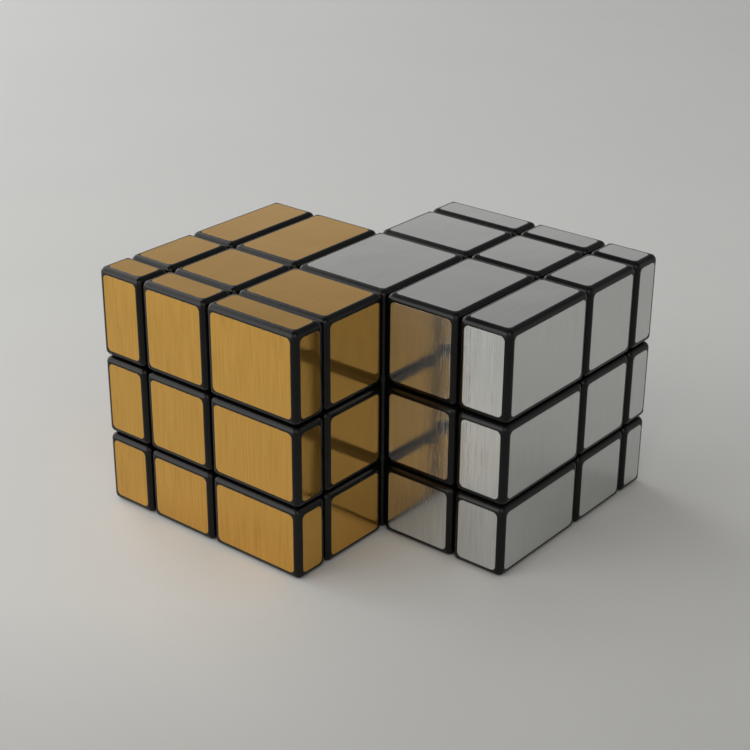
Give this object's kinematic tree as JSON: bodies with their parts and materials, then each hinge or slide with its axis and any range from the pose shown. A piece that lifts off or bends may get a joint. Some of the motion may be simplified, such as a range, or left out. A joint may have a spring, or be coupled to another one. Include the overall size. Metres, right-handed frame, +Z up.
{
  "type": "conjoined mirror block puzzle",
  "caption": "Pair of joined shape-shifting puzzle cubes, one with gold foil and one with silver foil on black blocks of uneven thickness, with layers that turn on inner cores.",
  "frame": {"origin": "centre of the underside of the shared column, on the surface that the puzzle stands on", "axes": "+Z up; +X to the right, from the gold cube's thin side layer to the silver cube's; +Y to the back. The silver cube is the gold one turned half a turn about Z"},
  "size_m": [0.089, 0.085, 0.057],
  "materials": {
    "black_plastic": "moulded, glossy, rounded edges",
    "gold_foil": "brushed metallised foil",
    "silver_foil": "brushed metallised foil",
    "core_nylon": "plain moulded",
    "screw_steel": "zinc plated",
    "spring_steel": "drawn wire"
  },
  "bodies": {
    "joined_layers": {"shared_column": "black_plastic", "gold_corner_right_front_bottom": "black_plastic", "gold_edge_right_bottom": "black_plastic", "gold_edge_right_front": "black_plastic", "gold_centre_right": "black_plastic", "gold_corner_right_front_top": "black_plastic", "gold_edge_right_top": "black_plastic", "silver_edge_front_bottom": "black_plastic", "silver_corner_right_front_bottom": "black_plastic", "silver_centre_front": "black_plastic", "silver_edge_right_front": "black_plastic", "silver_edge_front_top": "black_plastic", "silver_corner_right_front_top": "black_plastic", "gold_foils_joined": "gold_foil", "silver_foils_joined": "silver_foil"},
    "gold_middle_slice": {"gold_edge_front_bottom": "black_plastic", "gold_centre_bottom": "black_plastic", "gold_edge_back_bottom": "black_plastic", "gold_centre_front": "black_plastic", "gold_centre_back": "black_plastic", "gold_edge_front_top": "black_plastic", "gold_centre_top": "black_plastic", "gold_edge_back_top": "black_plastic", "gold_foils_slice": "gold_foil", "gold_core": "core_nylon", "gold_screws": "screw_steel", "gold_springs": "spring_steel"},
    "gold_left_layer": {"gold_corner_left_front_bottom": "black_plastic", "gold_edge_left_bottom": "black_plastic", "gold_corner_left_back_bottom": "black_plastic", "gold_edge_left_front": "black_plastic", "gold_centre_left": "black_plastic", "gold_edge_left_back": "black_plastic", "gold_corner_left_front_top": "black_plastic", "gold_edge_left_top": "black_plastic", "gold_corner_left_back_top": "black_plastic", "gold_foils_turning": "gold_foil"},
    "silver_middle_slice": {"silver_edge_left_bottom": "black_plastic", "silver_centre_bottom": "black_plastic", "silver_edge_right_bottom": "black_plastic", "silver_centre_left": "black_plastic", "silver_centre_right": "black_plastic", "silver_edge_left_top": "black_plastic", "silver_centre_top": "black_plastic", "silver_edge_right_top": "black_plastic", "silver_foils_slice": "silver_foil", "silver_core": "core_nylon", "silver_screws": "screw_steel", "silver_springs": "spring_steel"},
    "silver_back_layer": {"silver_corner_left_back_bottom": "black_plastic", "silver_edge_back_bottom": "black_plastic", "silver_corner_right_back_bottom": "black_plastic", "silver_edge_left_back": "black_plastic", "silver_centre_back": "black_plastic", "silver_edge_right_back": "black_plastic", "silver_corner_left_back_top": "black_plastic", "silver_edge_back_top": "black_plastic", "silver_corner_right_back_top": "black_plastic", "silver_foils_turning": "silver_foil"}
  },
  "joints": [
    {"name": "gold_slice_turn", "type": "hinge", "parent": "joined_layers", "child": "gold_middle_slice", "pos_m": [-0.022, -0.024, 0.0265], "axis": [1, 0, 0], "continuous": true},
    {"name": "gold_left_turn", "type": "hinge", "parent": "gold_middle_slice", "child": "gold_left_layer", "pos_m": [-0.022, -0.024, 0.0265], "axis": [1, 0, 0], "continuous": true},
    {"name": "silver_slice_turn", "type": "hinge", "parent": "joined_layers", "child": "silver_middle_slice", "pos_m": [0.022, 0.024, 0.0265], "axis": [0, 1, 0], "continuous": true},
    {"name": "silver_back_turn", "type": "hinge", "parent": "silver_middle_slice", "child": "silver_back_layer", "pos_m": [0.022, 0.024, 0.0265], "axis": [0, 1, 0], "continuous": true}
  ]
}
